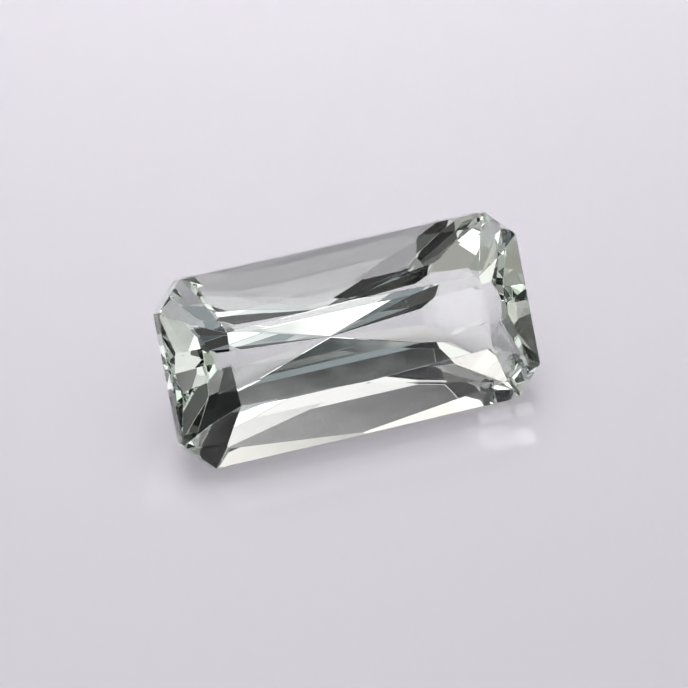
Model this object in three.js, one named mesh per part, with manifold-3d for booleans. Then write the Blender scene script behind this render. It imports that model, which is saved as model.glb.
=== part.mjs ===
// A faceted tourmaline: one long cut-corner rectangular stone, lying on a long facet of its pavilion.
// Units are millimetres and degrees, and +Z is up.
// The stone is described in the cutter's frame first: length along X, width along Y, table facing +Z,
// and the upper girdle outline at z = 0. Then it is turned so that the facet that it lies on faces down.
// Each facet is a plane: its azimuth is measured from +X towards +Y, its slope from the girdle plane,
// and its distance from the centre of the girdle outline.

import * as THREE from 'three';
import { mergeVertices } from 'three/addons/utils/BufferGeometryUtils.js';
import Module from 'manifold-3d';

// Girdle outline
const stoneLength = 12.1;
const stoneWidth = 6.02;
const cornerCut = 0.91;
const girdleThickness = 0.5;

// Table: a rectangle whose sides bulge a little to a middle point
const tableLength = 8.48;
const tableWidth = 2.32;
const tableEndBulge = 0.065;
const tableSideBulge = 0.135;
const crownHeight = 0.91;

// Crown facets
const endMainStep = 0.03;
const sideMainStep = 0.005;
const starSlope = 25;

// Pavilion facets that meet the girdle: their slopes, each starting from the lower girdle edge
const sideGirdleSlope = 75.6;
const endGirdleSlope = 61.4;
const cornerGirdleSlope = 69.3;

// The long facet that the stone lies on, and its twin on the far side
const restFacet = { azimuth: 90, slope: 49.2, distance: 2.694 };

// The other long facets: an inner tier beside the culet, and blades that run along the outer tier
const innerMain = { azimuth: 90, slope: 45.5, distance: 2.813 };
const hipFacet = { azimuth: 84, slope: 36.4, distance: 3.227 };
const sideBlade = { azimuth: 88.6, slope: 54.4, distance: 2.789 };

// The facets between the long sides and the ends
const shoulderFacet = { azimuth: 41.5, slope: 38.3, distance: 4.49 };
const cornerBlade = { azimuth: 58.4, slope: 57.4, distance: 4.693 };
const lowerCornerFacet = { azimuth: 49, slope: 52.1, distance: 4.882 };

// The facets towards the ends, from the culet outwards
const keelFacet = { azimuth: 0, slope: 7.9, distance: 3.973 };
const keelTip = { azimuth: 3.2, slope: 26, distance: 4.571 };
const lowerEndFacet = { azimuth: 2.9, slope: 31.9, distance: 4.718 };
const middleEndFacet = { azimuth: 6.7, slope: 44, distance: 5.186 };
const endBlade = { azimuth: 16.4, slope: 46.2, distance: 5.196 };
const upperEndFacet = { azimuth: 7, slope: 59.3, distance: 5.619 };
const upperEndBlade = { azimuth: 11.7, slope: 55.5, distance: 5.552 };

const pavilionFacets = [
  restFacet, innerMain, hipFacet, sideBlade,
  shoulderFacet, cornerBlade, lowerCornerFacet,
  keelFacet, keelTip, lowerEndFacet, middleEndFacet, endBlade, upperEndFacet, upperEndBlade,
];

// Finish
const crystalColour = 0xe8eee6;
const crystalRoughness = 0.03;
const crystalMetalness = 0;

// Size of the rough crystal and of the lap that grinds each facet away
const roughSize = 20;
const lapSize = 60;

const wasm = await Module();
wasm.setup();

// A closed three.js geometry as a manifold solid, with its shared corners merged
function solidFrom(geometry) {
  const bare = geometry.clone();
  bare.deleteAttribute('normal');
  bare.deleteAttribute('uv');
  const merged = mergeVertices(bare);
  return new wasm.Manifold(new wasm.Mesh({
    numProp: 3,
    vertProperties: new Float32Array(merged.attributes.position.array),
    triVerts: new Uint32Array(merged.index.array),
  }));
}

function geometryFrom(solid) {
  const mesh = solid.getMesh();
  const geometry = new THREE.BufferGeometry();
  geometry.setAttribute('position', new THREE.BufferAttribute(new Float32Array(mesh.vertProperties), 3));
  geometry.setIndex(new THREE.BufferAttribute(new Uint32Array(mesh.triVerts), 1));
  const faceted = geometry.toNonIndexed();
  faceted.computeVertexNormals();
  return faceted;
}

// The outward direction of a facet; a positive side is 1 for the crown and -1 for the pavilion
function facetNormal(azimuth, slope, side) {
  const turn = THREE.MathUtils.degToRad(azimuth);
  const tilt = THREE.MathUtils.degToRad(slope);
  return new THREE.Vector3(
    Math.cos(turn) * Math.sin(tilt),
    Math.sin(turn) * Math.sin(tilt),
    Math.cos(tilt) * side,
  );
}

// The plane through three points, facing away from the centre
function planeThrough(a, b, c) {
  const plane = new THREE.Plane().setFromCoplanarPoints(a, b, c);
  return plane.constant > 0 ? plane.negate() : plane;
}

function planeFrom(normal, point) {
  return new THREE.Plane().setFromNormalAndCoplanarPoint(normal, point);
}

// The same facet in every quarter of the stone, without repeats on the axes
function inAllQuarters(plane) {
  const found = new Map();
  for (const alongX of [1, -1]) {
    for (const alongY of [1, -1]) {
      const normal = plane.normal.clone().multiply(new THREE.Vector3(alongX, alongY, 1));
      const key = normal.toArray().map((value) => Math.round(value * 1e6) + 0).join();
      found.set(key, new THREE.Plane(normal, plane.constant));
    }
  }
  return [...found.values()];
}

function point(x, y, z) {
  return new THREE.Vector3(x, y, z);
}

const halfLength = stoneLength / 2;
const halfWidth = stoneWidth / 2;
const sideRun = halfLength - cornerCut;
const endRun = halfWidth - cornerCut;

function girdlePlanes() {
  const end = planeFrom(point(1, 0, 0), point(halfLength, 0, 0));
  const side = planeFrom(point(0, 1, 0), point(0, halfWidth, 0));
  const corner = planeFrom(facetNormal(45, 90, 1), point(sideRun, halfWidth, 0));
  return [end, side, corner];
}

function crownPlanes() {
  const tableCorner = point(tableLength / 2, tableWidth / 2, crownHeight);
  const tableEnd = point(tableLength / 2 + tableEndBulge, 0, crownHeight);
  const tableSide = point(0, tableWidth / 2 + tableSideBulge, crownHeight);
  const table = planeFrom(point(0, 0, 1), tableCorner);
  const endMain = planeThrough(
    point(halfLength, endRun, 0),
    point(halfLength, -endRun, 0),
    tableEnd.clone().add(point(endMainStep, 0, 0)),
  );
  const sideMain = planeThrough(
    point(sideRun, halfWidth, 0),
    point(-sideRun, halfWidth, 0),
    tableSide.clone().add(point(0, sideMainStep, 0)),
  );
  const cornerMain = planeThrough(point(sideRun, halfWidth, 0), point(halfLength, endRun, 0), tableCorner);
  const stars = [starBeside(tableCorner, tableEnd), starBeside(tableSide, tableCorner)];
  return [table, endMain, sideMain, cornerMain, ...stars];
}

// A star facet slopes down from one straight stretch of the table's edge
function starBeside(from, to) {
  const along = to.clone().sub(from).normalize();
  const outward = new THREE.Vector3().crossVectors(along, point(0, 0, 1)).normalize();
  if (outward.dot(from) < 0) {
    outward.negate();
  }
  const tilt = THREE.MathUtils.degToRad(starSlope);
  const normal = outward.multiplyScalar(Math.sin(tilt)).add(point(0, 0, Math.cos(tilt)));
  return planeFrom(normal, from);
}

function pavilionPlanes() {
  const lowerGirdle = -girdleThickness;
  const tiers = [
    planeFrom(facetNormal(90, sideGirdleSlope, -1), point(0, halfWidth, lowerGirdle)),
    planeFrom(facetNormal(0, endGirdleSlope, -1), point(halfLength, 0, lowerGirdle)),
    planeFrom(facetNormal(45, cornerGirdleSlope, -1), point(sideRun, halfWidth, lowerGirdle)),
  ];
  const facets = pavilionFacets.map(({ azimuth, slope, distance }) => (
    new THREE.Plane(facetNormal(azimuth, slope, -1), -distance)
  ));
  return [...tiers, ...facets];
}

// Grinds one facet: everything beyond its plane is taken off
function grind(stone, plane) {
  const lap = new THREE.BoxGeometry(lapSize, lapSize, lapSize);
  const facing = new THREE.Quaternion().setFromUnitVectors(point(0, 0, 1), plane.normal);
  const centre = plane.normal.clone().multiplyScalar(lapSize / 2 - plane.constant);
  lap.applyMatrix4(new THREE.Matrix4().compose(centre, facing, point(1, 1, 1)));
  return stone.subtract(solidFrom(lap));
}

function cutStone() {
  let stone = solidFrom(new THREE.BoxGeometry(roughSize, roughSize, roughSize));
  for (const plane of [...girdlePlanes(), ...crownPlanes(), ...pavilionPlanes()]) {
    for (const facet of inAllQuarters(plane)) {
      stone = grind(stone, facet);
    }
  }
  return geometryFrom(stone);
}

const crystalMaterial = new THREE.MeshStandardMaterial({
  color: crystalColour,
  roughness: crystalRoughness,
  metalness: crystalMetalness,
});

const tourmaline = new THREE.Mesh(cutStone(), crystalMaterial);
tourmaline.name = 'tourmaline';

// The turn about X brings the rest facet level at z = 0, and the middle of the lying stone is set at y = 0
tourmaline.rotation.x = THREE.MathUtils.degToRad(restFacet.slope);
tourmaline.position.z = restFacet.distance;
const lying = new THREE.Box3().setFromObject(tourmaline, true);
tourmaline.position.y = -(lying.min.y + lying.max.y) / 2;

const model = new THREE.Group();
model.add(tourmaline);

export default model;
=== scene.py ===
import math

import bpy
from bpy.props import FloatProperty, FloatVectorProperty, PointerProperty
from mathutils import Matrix, Vector


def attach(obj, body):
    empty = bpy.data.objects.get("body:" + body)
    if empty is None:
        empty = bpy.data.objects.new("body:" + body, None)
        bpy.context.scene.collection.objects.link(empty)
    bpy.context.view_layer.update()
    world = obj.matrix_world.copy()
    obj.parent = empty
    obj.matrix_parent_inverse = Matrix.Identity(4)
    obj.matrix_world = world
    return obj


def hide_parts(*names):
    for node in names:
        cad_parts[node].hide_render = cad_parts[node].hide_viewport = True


bl_info = {
    "name": "Faceted tourmaline",
    "version": (1, 0, 0),
    "blender": (4, 5, 0),
    "location": "3D View > Sidebar > Tourmaline",
    "description": "Finishes a cut-corner rectangular tourmaline and lays it on a pale glossy table",
    "category": "Object",
}

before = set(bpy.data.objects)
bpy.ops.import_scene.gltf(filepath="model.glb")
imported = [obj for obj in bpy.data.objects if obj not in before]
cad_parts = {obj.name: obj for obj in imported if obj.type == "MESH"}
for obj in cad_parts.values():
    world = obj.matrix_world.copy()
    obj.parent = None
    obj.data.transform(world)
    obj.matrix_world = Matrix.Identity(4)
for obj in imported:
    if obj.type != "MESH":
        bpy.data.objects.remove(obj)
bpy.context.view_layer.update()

MM = 0.001

# The triangles of one facet lie within this distance and this angle of each other
MERGE_DISTANCE = 0.0005 * MM
FLAT_WITHIN = math.radians(0.3)

# Roughness of the tiny pits and dust specks
SPECK_ROUGHNESS = 0.6

# The table's width in metres; it lies a hair below the stone, so that the two surfaces don't touch
TABLE_ACROSS = 3.0
TABLE_DROP = 0.02 * MM

# Roughness and shine of the table under its clear coat
TABLE_ROUGHNESS = 0.7
TABLE_SHINE = 0.2

# Distance of the soft boxes in metres, and the width of their soft rim per unit of that distance
BOX_DISTANCE = 0.6
SOFT_RIM = 0.12

# Colours of the soft boxes
WHITE = (1.0, 0.98, 0.99)
WARM = (1.03, 0.99, 0.94)
COOL = (0.90, 1.0, 1.08)

# Soft boxes round the stone: turn and height in degrees, width and length per unit of distance,
# brightness and colour
SOFT_BOXES = (
    (160, 43, 0.32, 1.09, 0.23, WHITE),
    (-109, 28, 1.51, 1.92, 0.40, WARM),
    (30, 36, 0.17, 1.32, 1.05, WHITE),
    (180, 12, 0.87, 1.11, 0.94, WARM),
    (-55, 62, 1.82, 0.36, 0.72, WHITE),
    (77, 15, 1.12, 0.29, 1.07, WHITE),
    (120, 85, 2.52, 0.41, 1.36, WHITE),
    (72, 23, 1.53, 0.27, 0.07, WHITE),
    (158, 57, 0.72, 0.34, 1.10, WHITE),
    (-19, 37, 0.38, 1.26, 0.29, WHITE),
    (48, 35, 1.38, 0.38, 0.30, COOL),
    (-118, 41, 0.37, 1.94, 1.37, WHITE),
    (-140, 53, 1.32, 0.24, 1.67, WHITE),
    (57, 58, 0.80, 0.31, 1.69, WHITE),
    (-52, 32, 0.35, 0.31, 0.62, WHITE),
    (12, 6, 0.24, 0.68, 0.65, WHITE),
    (-167, 42, 0.49, 0.61, 1.63, WHITE),
    (-137, 2, 1.99, 0.24, 0.40, WARM),
    (95, 10, 0.25, 0.34, 1.35, WHITE),
    (-31, 50, 1.07, 0.22, 0.28, WHITE),
)

# Lamps that light only the table: turn and height in degrees, distance and size in metres, power in watts,
# and whether their light also passes through the stone
TABLE_LAMPS = (
    ("table_light", 162, 45, 0.6, 0.3, 2.5, True),
    ("back_glow", 162, 30, 0.06, 0.03, 0.011, True),
    ("shade_light", 178, 58, 0.3, 0.2, 0.375, False),
    ("top_light", 180, 84, 0.3, 0.6, 0.44, False),
)

# Small squares of light that the stone throws on the table: place in millimetres, turn in degrees,
# width in millimetres and power in watts
GLINTS = (
    ("wide_glint", 3.98, -3.53, -26, 1.15, 0.012),
    ("small_glint", 4.84, -3.76, -30, 0.75, 0.018),
)
GLINT_HEIGHT = 40 * MM
GLINT_BLUR = 0.04 * MM
GLINT_RIM = 0.1

# The camera's sensor width in millimetres, and half the picture's width in focal lengths
SENSOR_WIDTH = 36
HALF_PICTURE = 344 / 6000


class CrystalSettings(bpy.types.PropertyGroup):
    refractive_index: FloatProperty(
        name="Refractive index", description="How strongly the crystal bends light",
        default=1.63, min=1.5, max=1.8)
    body_colour: FloatVectorProperty(
        name="Body colour", description="Colour of light after a short way through the crystal",
        subtype="COLOR", size=3, default=(0.80, 0.885, 0.80), min=0.0, max=1.0)
    body_density: FloatProperty(
        name="Body density", description="How fast the crystal takes up light, per metre",
        default=55.0, min=0.0)
    edge_width: FloatProperty(
        name="Edge width", description="Width of the polished-off line along each facet edge",
        default=0.016 * MM, min=0.0, subtype="DISTANCE", unit="LENGTH")
    polish: FloatProperty(
        name="Polish roughness", description="Roughness of the polished facets",
        default=0.0, min=0.0, max=1.0)
    wave_length: FloatProperty(
        name="Polish wave length", description="From crest to crest of the lap's low waves",
        default=1.6 * MM, min=0.1 * MM, subtype="DISTANCE", unit="LENGTH")
    wave_height: FloatProperty(
        name="Polish wave height", description="Height of the lap's low waves",
        default=0.0016 * MM, min=0.0, subtype="DISTANCE", unit="LENGTH")
    speck_spacing: FloatProperty(
        name="Speck spacing", description="Mean distance between the tiny pits and dust specks",
        default=0.6 * MM, min=0.1 * MM, subtype="DISTANCE", unit="LENGTH")
    speck_size: FloatProperty(
        name="Speck size", description="Radius of the tiny pits and dust specks",
        default=0.018 * MM, min=0.0, subtype="DISTANCE", unit="LENGTH")


class StageSettings(bpy.types.PropertyGroup):
    table_colour: FloatVectorProperty(
        name="Table colour", description="Colour of the pale table top",
        subtype="COLOR", size=3, default=(0.60, 0.575, 0.625), min=0.0, max=1.0)
    table_gloss: FloatProperty(
        name="Table gloss", description="Roughness of the table's clear coat",
        default=0.02, min=0.0, max=1.0)
    lamp_strength: FloatProperty(
        name="Lamp strength", description="Brightness of the soft boxes", default=1.0, min=0.0)
    table_light: FloatProperty(
        name="Table light", description="Brightness of the light on the table top", default=1.0, min=0.0)
    room_light: FloatProperty(
        name="Room light", description="Brightness of the dim room round the table",
        default=0.009, min=0.0)
    view_turn: FloatProperty(
        name="View turn", description="Camera's turn about the stone",
        default=math.radians(-25.81), subtype="ANGLE")
    view_height: FloatProperty(
        name="View height", description="Camera's angle above the table",
        default=math.radians(44.24), subtype="ANGLE")
    view_roll: FloatProperty(
        name="View roll", description="Camera's turn about its own line of sight",
        default=math.radians(5.76), subtype="ANGLE")
    view_aim: FloatVectorProperty(
        name="View aim", description="Middle of the stone's girdle", size=3,
        default=(0.0, -0.535 * MM, 2.694 * MM), subtype="TRANSLATION", unit="LENGTH")
    view_distance: FloatProperty(
        name="View distance", description="From the camera to the stone",
        default=188.0 * MM, subtype="DISTANCE", unit="LENGTH")
    view_offset: FloatVectorProperty(
        name="View offset", description="How far the camera stands to the right of the aim and above it",
        size=2, default=(-0.224 * MM, -0.147 * MM), subtype="TRANSLATION", unit="LENGTH")


def only(obj):
    bpy.ops.object.select_all(action="DESELECT")
    obj.select_set(True)
    bpy.context.view_layer.objects.active = obj


def direction(turn, height):
    """From the stone towards a lamp or the camera; a turn of zero points along -Y"""
    return Vector((
        math.sin(turn) * math.cos(height),
        -math.cos(turn) * math.cos(height),
        math.sin(height)))


def merged_copy(node, name):
    """A copy of a CAD node with its triangles joined into flat facets"""
    copy = bpy.data.objects.new(name, node.data.copy())
    bpy.context.scene.collection.objects.link(copy)
    copy.data.materials.clear()
    only(copy)
    bpy.ops.object.mode_set(mode="EDIT")
    bpy.ops.mesh.select_all(action="SELECT")
    bpy.ops.mesh.remove_doubles(threshold=MERGE_DISTANCE)
    bpy.ops.mesh.dissolve_limited(angle_limit=FLAT_WITHIN)
    bpy.ops.object.mode_set(mode="OBJECT")
    return copy


def break_edges(stone, width):
    """Polishes a narrow flat along every facet edge; no new corner may stand proud of the facets"""
    facets = [(facet.normal.copy(), facet.center.dot(facet.normal)) for facet in stone.data.polygons]
    only(stone)
    bpy.ops.object.mode_set(mode="EDIT")
    bpy.ops.mesh.select_all(action="SELECT")
    bpy.ops.mesh.bevel(offset=width / 2, segments=1, affect="EDGES", clamp_overlap=False)
    bpy.ops.object.mode_set(mode="OBJECT")
    for corner in stone.data.vertices:
        for normal, distance in facets:
            proud = corner.co.dot(normal) - distance
            if proud > 0:
                corner.co -= normal * proud


def empty_material(name):
    """A material whose node tree holds nothing yet"""
    material = bpy.data.materials.new(name)
    material.use_nodes = True
    material.node_tree.nodes.clear()
    return material


def add_math(tree, operation, first, second=None):
    """A maths node that works on one socket, and on a second socket or number if one is given"""
    node = tree.nodes.new("ShaderNodeMath")
    node.operation = operation
    tree.links.new(first, node.inputs[0])
    if isinstance(second, bpy.types.NodeSocket):
        tree.links.new(second, node.inputs[1])
    elif second is not None:
        node.inputs[1].default_value = second
    return node.outputs["Value"]


def polish_waves(tree, place, look):
    """Very low waves that the lap leaves on each facet, so that a facet's tone drifts a little"""
    waves = tree.nodes.new("ShaderNodeTexNoise")
    waves.inputs["Scale"].default_value = 1 / look.wave_length
    waves.inputs["Detail"].default_value = 1.0
    tree.links.new(place, waves.inputs["Vector"])
    bump = tree.nodes.new("ShaderNodeBump")
    bump.inputs["Strength"].default_value = 1.0
    bump.inputs["Distance"].default_value = look.wave_height
    tree.links.new(waves.outputs["Fac"], bump.inputs["Height"])
    return bump.outputs["Normal"]


def speck_mask(tree, place, look):
    """1 on a few tiny pits and dust specks and 0 elsewhere"""
    cells = tree.nodes.new("ShaderNodeTexVoronoi")
    cells.inputs["Scale"].default_value = 1 / look.speck_spacing
    tree.links.new(place, cells.inputs["Vector"])
    speck_radius = look.speck_size / look.speck_spacing
    return add_math(tree, "LESS_THAN", cells.outputs["Distance"], speck_radius)


def crystal_material(look):
    """Clear crystal: it bends light, tints it a little on its way, and has a hand-lapped polish"""
    material = empty_material("tourmaline_crystal")
    tree = material.node_tree
    output = tree.nodes.new("ShaderNodeOutputMaterial")
    shader = tree.nodes.new("ShaderNodeBsdfPrincipled")
    shader.inputs["Base Color"].default_value = (1, 1, 1, 1)
    shader.inputs["Transmission Weight"].default_value = 1.0
    shader.inputs["IOR"].default_value = look.refractive_index
    place = tree.nodes.new("ShaderNodeTexCoord").outputs["Object"]
    tree.links.new(polish_waves(tree, place, look), shader.inputs["Normal"])
    roughness = tree.nodes.new("ShaderNodeMapRange")
    roughness.inputs["To Min"].default_value = look.polish
    roughness.inputs["To Max"].default_value = SPECK_ROUGHNESS
    tree.links.new(speck_mask(tree, place, look), roughness.inputs["Value"])
    tree.links.new(roughness.outputs["Result"], shader.inputs["Roughness"])
    volume = tree.nodes.new("ShaderNodeVolumeAbsorption")
    volume.inputs["Color"].default_value = (*look.body_colour, 1)
    volume.inputs["Density"].default_value = look.body_density
    tree.links.new(shader.outputs["BSDF"], output.inputs["Surface"])
    tree.links.new(volume.outputs["Volume"], output.inputs["Volume"])
    return material


class TOURMALINE_OT_cut_stone(bpy.types.Operator):
    """Joins the frame's triangles into facets, breaks their edges a little and makes them clear crystal"""
    bl_idname = "tourmaline.cut_stone"
    bl_label = "Cut stone"

    def execute(self, context):
        look = context.scene.tourmaline_crystal
        if "tourmaline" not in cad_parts:
            raise RuntimeError("The frame has no node named tourmaline")
        stone = merged_copy(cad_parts["tourmaline"], "cut_stone")
        if look.edge_width > 0:
            break_edges(stone, look.edge_width)
        stone.data.materials.append(crystal_material(look))
        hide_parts("tourmaline")
        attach(stone, "root")
        return {"FINISHED"}


def table_material(stage):
    material = bpy.data.materials.new("pale_table")
    material.use_nodes = True
    shader = material.node_tree.nodes["Principled BSDF"]
    shader.inputs["Base Color"].default_value = (*stage.table_colour, 1)
    shader.inputs["Roughness"].default_value = TABLE_ROUGHNESS
    shader.inputs["Specular IOR Level"].default_value = TABLE_SHINE
    shader.inputs["Coat Weight"].default_value = 1.0
    shader.inputs["Coat Roughness"].default_value = stage.table_gloss
    return material


def add_table(stage):
    bpy.ops.object.select_all(action="DESELECT")
    bpy.ops.mesh.primitive_plane_add(size=TABLE_ACROSS, location=(0, 0, -TABLE_DROP))
    table = bpy.context.object
    table.name = "table"
    table.data.materials.append(table_material(stage))


def rim_fade(tree, along, across):
    """1 in the middle of a soft box and 0 at its rim, along a side that the UV map counts from 0 to 1"""
    half = 0.5
    from_middle = add_math(tree, "SUBTRACT", along, half)
    fade = tree.nodes.new("ShaderNodeMapRange")
    fade.interpolation_type = "SMOOTHSTEP"
    fade.inputs["From Min"].default_value = half
    fade.inputs["From Max"].default_value = half - SOFT_RIM / across
    tree.links.new(add_math(tree, "ABSOLUTE", from_middle), fade.inputs["Value"])
    return fade.outputs["Result"]


def glow_material(name, width, length, brightness, colour):
    """Light of a soft box: even in the middle, softer towards its rim, and added to what is behind"""
    material = empty_material(name)
    tree = material.node_tree
    output = tree.nodes.new("ShaderNodeOutputMaterial")
    place = tree.nodes.new("ShaderNodeTexCoord").outputs["UV"]
    axes = tree.nodes.new("ShaderNodeSeparateXYZ")
    tree.links.new(place, axes.inputs["Vector"])
    fade_across = rim_fade(tree, axes.outputs["X"], width)
    fade_along = rim_fade(tree, axes.outputs["Y"], length)
    fade = add_math(tree, "MULTIPLY", fade_across, fade_along)
    glow = tree.nodes.new("ShaderNodeEmission")
    glow.inputs["Color"].default_value = (*colour, 1)
    tree.links.new(add_math(tree, "MULTIPLY", fade, brightness), glow.inputs["Strength"])
    clear = tree.nodes.new("ShaderNodeBsdfTransparent")
    added = tree.nodes.new("ShaderNodeAddShader")
    tree.links.new(glow.outputs["Emission"], added.inputs[0])
    tree.links.new(clear.outputs["BSDF"], added.inputs[1])
    tree.links.new(added.outputs["Shader"], output.inputs["Surface"])
    return material


def soft_box(name, turn, height, width, length, brightness, colour):
    """A glowing rectangle that faces the stone and is seen only in the stone and in the table's gloss"""
    back = direction(math.radians(turn), math.radians(height))
    bpy.ops.object.select_all(action="DESELECT")
    bpy.ops.mesh.primitive_plane_add(size=1.0, location=back * BOX_DISTANCE)
    box = bpy.context.object
    box.name = name
    box.rotation_euler = back.to_track_quat("Z", "Y").to_euler()
    box.scale = (width * BOX_DISTANCE, length * BOX_DISTANCE, 1)
    box.data.materials.append(glow_material(name + "_glow", width, length, brightness, colour))
    box.visible_camera = False
    box.visible_diffuse = False


def light_only_table(lamp):
    """Keeps a lamp out of sight and out of the stone's reflections"""
    lamp.visible_camera = False
    lamp.visible_glossy = False
    lamp.visible_transmission = False


def pass_through(lamp, stone):
    """Lets the lamp's light reach the table through the stone"""
    passes = bpy.data.collections.new(lamp.name + "_passes")
    passes.objects.link(stone)
    lamp.light_linking.blocker_collection = passes
    passes.collection_objects[0].light_linking.link_state = "EXCLUDE"


def table_lamp(name, turn, height, distance, size, power):
    """A round soft lamp that lights only the table"""
    back = direction(math.radians(turn), math.radians(height))
    bpy.ops.object.light_add(type="AREA", location=back * distance)
    lamp = bpy.context.object
    lamp.name = name
    lamp.rotation_euler = back.to_track_quat("Z", "Y").to_euler()
    lamp.data.shape = "DISK"
    lamp.data.size = size
    lamp.data.energy = power
    light_only_table(lamp)
    return lamp


def table_glint(name, x, y, turn, width, power):
    """A square spot of light from straight above"""
    bpy.ops.object.light_add(type="SPOT", location=(x * MM, y * MM, GLINT_HEIGHT))
    lamp = bpy.context.object
    lamp.name = name
    lamp.rotation_euler = (0, 0, math.radians(turn))
    lamp.data.use_square = True
    lamp.data.spot_size = 2 * math.atan(width * MM / 2 / GLINT_HEIGHT)
    lamp.data.spot_blend = GLINT_RIM
    lamp.data.shadow_soft_size = GLINT_BLUR
    lamp.data.energy = power
    light_only_table(lamp)
    return lamp


def add_lights(stage, stone):
    for number, (turn, height, width, length, brightness, colour) in enumerate(SOFT_BOXES, 1):
        soft_box(f"box_{number}", turn, height, width, length, brightness * stage.lamp_strength, colour)
    for name, turn, height, distance, size, power, passes in TABLE_LAMPS:
        lamp = table_lamp(name, turn, height, distance, size, power * stage.table_light)
        if passes:
            pass_through(lamp, stone)
    for name, x, y, turn, width, power in GLINTS:
        pass_through(table_glint(name, x, y, turn, width, power * stage.table_light), stone)


def add_room(stage, scene):
    scene.world = bpy.data.worlds.new("dim_room")
    scene.world.use_nodes = True
    room = scene.world.node_tree.nodes["Background"]
    room.inputs["Color"].default_value = (1, 1, 1, 1)
    room.inputs["Strength"].default_value = stage.room_light


def add_camera(stage, scene):
    back = direction(stage.view_turn, stage.view_height)
    level = back.to_track_quat("Z", "Y").to_matrix()
    turned = level @ Matrix.Rotation(stage.view_roll, 3, "Z")
    aside = turned.col[0] * stage.view_offset[0] + turned.col[1] * stage.view_offset[1]
    bpy.ops.object.camera_add(location=Vector(stage.view_aim) + back * stage.view_distance + aside)
    camera = bpy.context.object
    camera.rotation_euler = turned.to_euler()
    camera.data.sensor_width = SENSOR_WIDTH
    camera.data.lens = SENSOR_WIDTH / 2 / HALF_PICTURE
    camera.data.clip_start = 0.01
    camera.data.clip_end = 10
    scene.camera = camera


def set_rendering(scene):
    """Enough bounces for the many reflections inside the stone, and colours shown as they are"""
    scene.view_settings.view_transform = "Standard"
    scene.view_settings.look = "None"
    scene.cycles.max_bounces = 32
    scene.cycles.transmission_bounces = 32
    scene.cycles.glossy_bounces = 16
    scene.cycles.transparent_max_bounces = 24
    scene.cycles.caustics_reflective = False
    scene.cycles.caustics_refractive = False
    scene.cycles.use_denoising = True
    scene.cycles.denoising_input_passes = "RGB"


class TOURMALINE_OT_stage(bpy.types.Operator):
    """Makes the pale table, the soft boxes and lamps, the dim room and the camera"""
    bl_idname = "tourmaline.stage"
    bl_label = "Stage"

    def execute(self, context):
        stage = context.scene.tourmaline_stage
        stone = bpy.data.objects.get("cut_stone")
        if stone is None:
            raise RuntimeError("The stone has to be cut before the stage is made")
        add_table(stage)
        add_lights(stage, stone)
        add_room(stage, context.scene)
        add_camera(stage, context.scene)
        set_rendering(context.scene)
        return {"FINISHED"}


class TOURMALINE_PT_panel(bpy.types.Panel):
    bl_idname = "TOURMALINE_PT_panel"
    bl_label = "Faceted tourmaline"
    bl_space_type = "VIEW_3D"
    bl_region_type = "UI"
    bl_category = "Tourmaline"

    def draw(self, context):
        layout = self.layout
        for settings, operator in (
                (context.scene.tourmaline_crystal, "tourmaline.cut_stone"),
                (context.scene.tourmaline_stage, "tourmaline.stage")):
            for name in settings.__annotations__:
                layout.prop(settings, name)
            layout.operator(operator)


CLASSES = (
    CrystalSettings, StageSettings, TOURMALINE_OT_cut_stone, TOURMALINE_OT_stage, TOURMALINE_PT_panel)


def register():
    for cls in CLASSES:
        bpy.utils.register_class(cls)
    bpy.types.Scene.tourmaline_crystal = PointerProperty(type=CrystalSettings)
    bpy.types.Scene.tourmaline_stage = PointerProperty(type=StageSettings)


def unregister():
    del bpy.types.Scene.tourmaline_stage
    del bpy.types.Scene.tourmaline_crystal
    for cls in reversed(CLASSES):
        bpy.utils.unregister_class(cls)


def main():
    register()
    bpy.ops.tourmaline.cut_stone()
    bpy.ops.tourmaline.stage()


if __name__ == "__main__":
    main()
